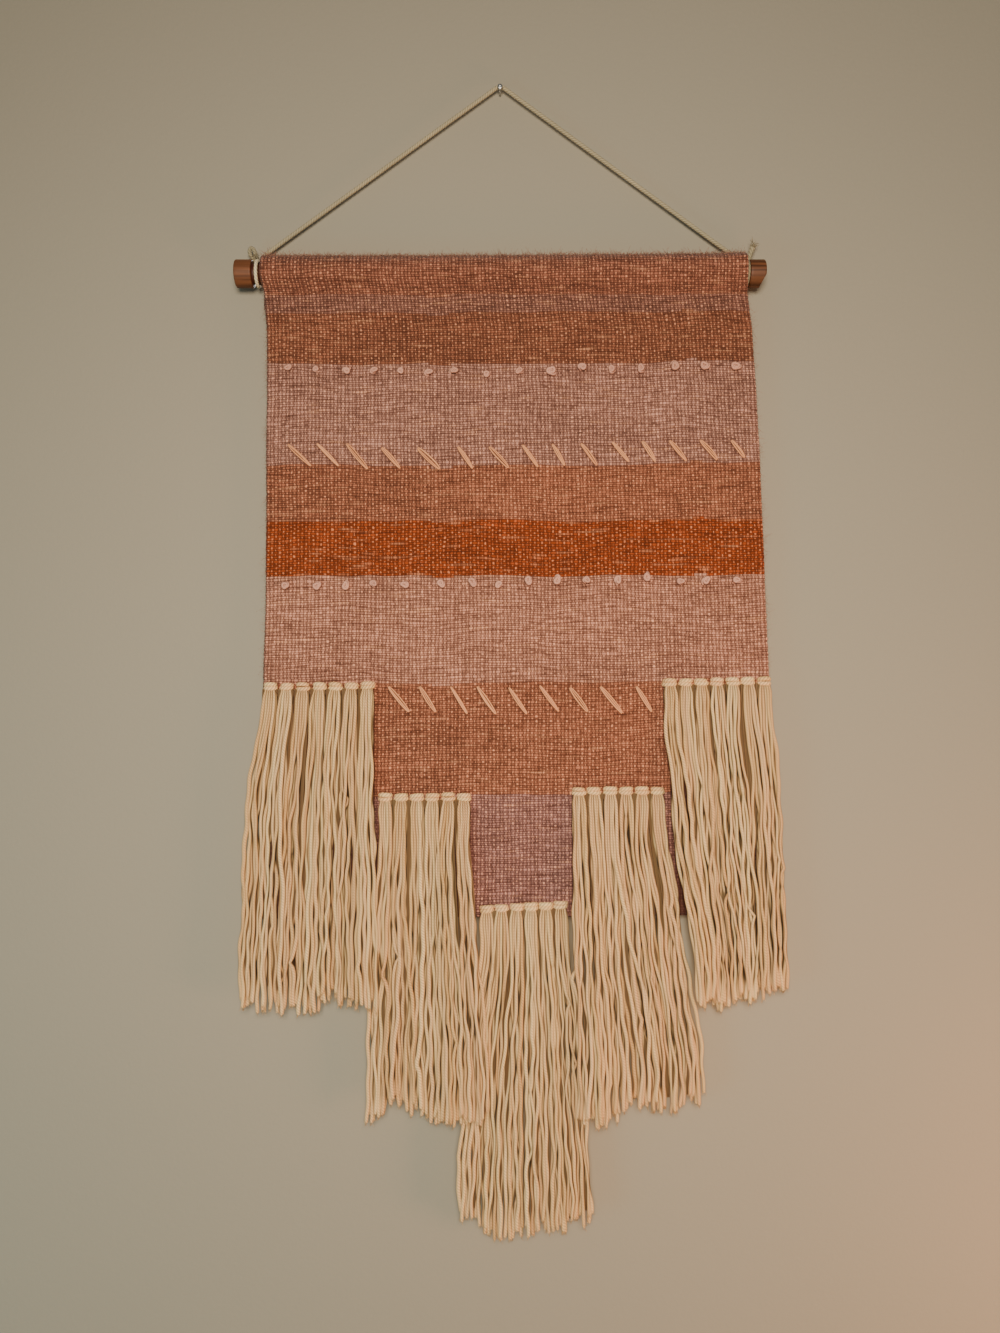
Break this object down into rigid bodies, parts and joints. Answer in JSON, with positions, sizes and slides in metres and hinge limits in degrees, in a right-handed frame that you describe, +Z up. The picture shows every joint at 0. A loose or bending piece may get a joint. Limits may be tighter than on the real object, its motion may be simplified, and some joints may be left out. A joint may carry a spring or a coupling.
{
  "type": "woven wall hanging on a wooden rod with its cord and nail",
  "caption": "Flat woven cloth panel with stepped yarn fringe, hung by its rod pocket on a round wooden rod and by a cord from a nail.",
  "frame": {"origin": "where the nail's axis leaves the wall, at the cord's peak", "axes": "+X to the viewer's right along the rod, +Y into the wall, +Z up; the wall is the plane y = 0"},
  "size_m": [0.503, 0.0355, 1.0608],
  "materials": {
    "rod_wood": "sanded and oiled",
    "woven_wool": "plain woven, matt",
    "cotton_cord": "twisted, matt",
    "fringe_yarn": "plied wool, matt",
    "nail_steel": "bright wire"
  },
  "bodies": {
    "root": {"rod": "rod_wood", "cloth": "woven_wool", "hanging_cord": "cotton_cord", "cord_turn_left": "cotton_cord", "cord_turn_right": "cotton_cord", "nail": "nail_steel", "fringe_left_outer": "fringe_yarn", "fringe_right_outer": "fringe_yarn", "fringe_left_middle": "fringe_yarn", "fringe_right_middle": "fringe_yarn", "fringe_centre": "fringe_yarn"}
  },
  "joints": []
}
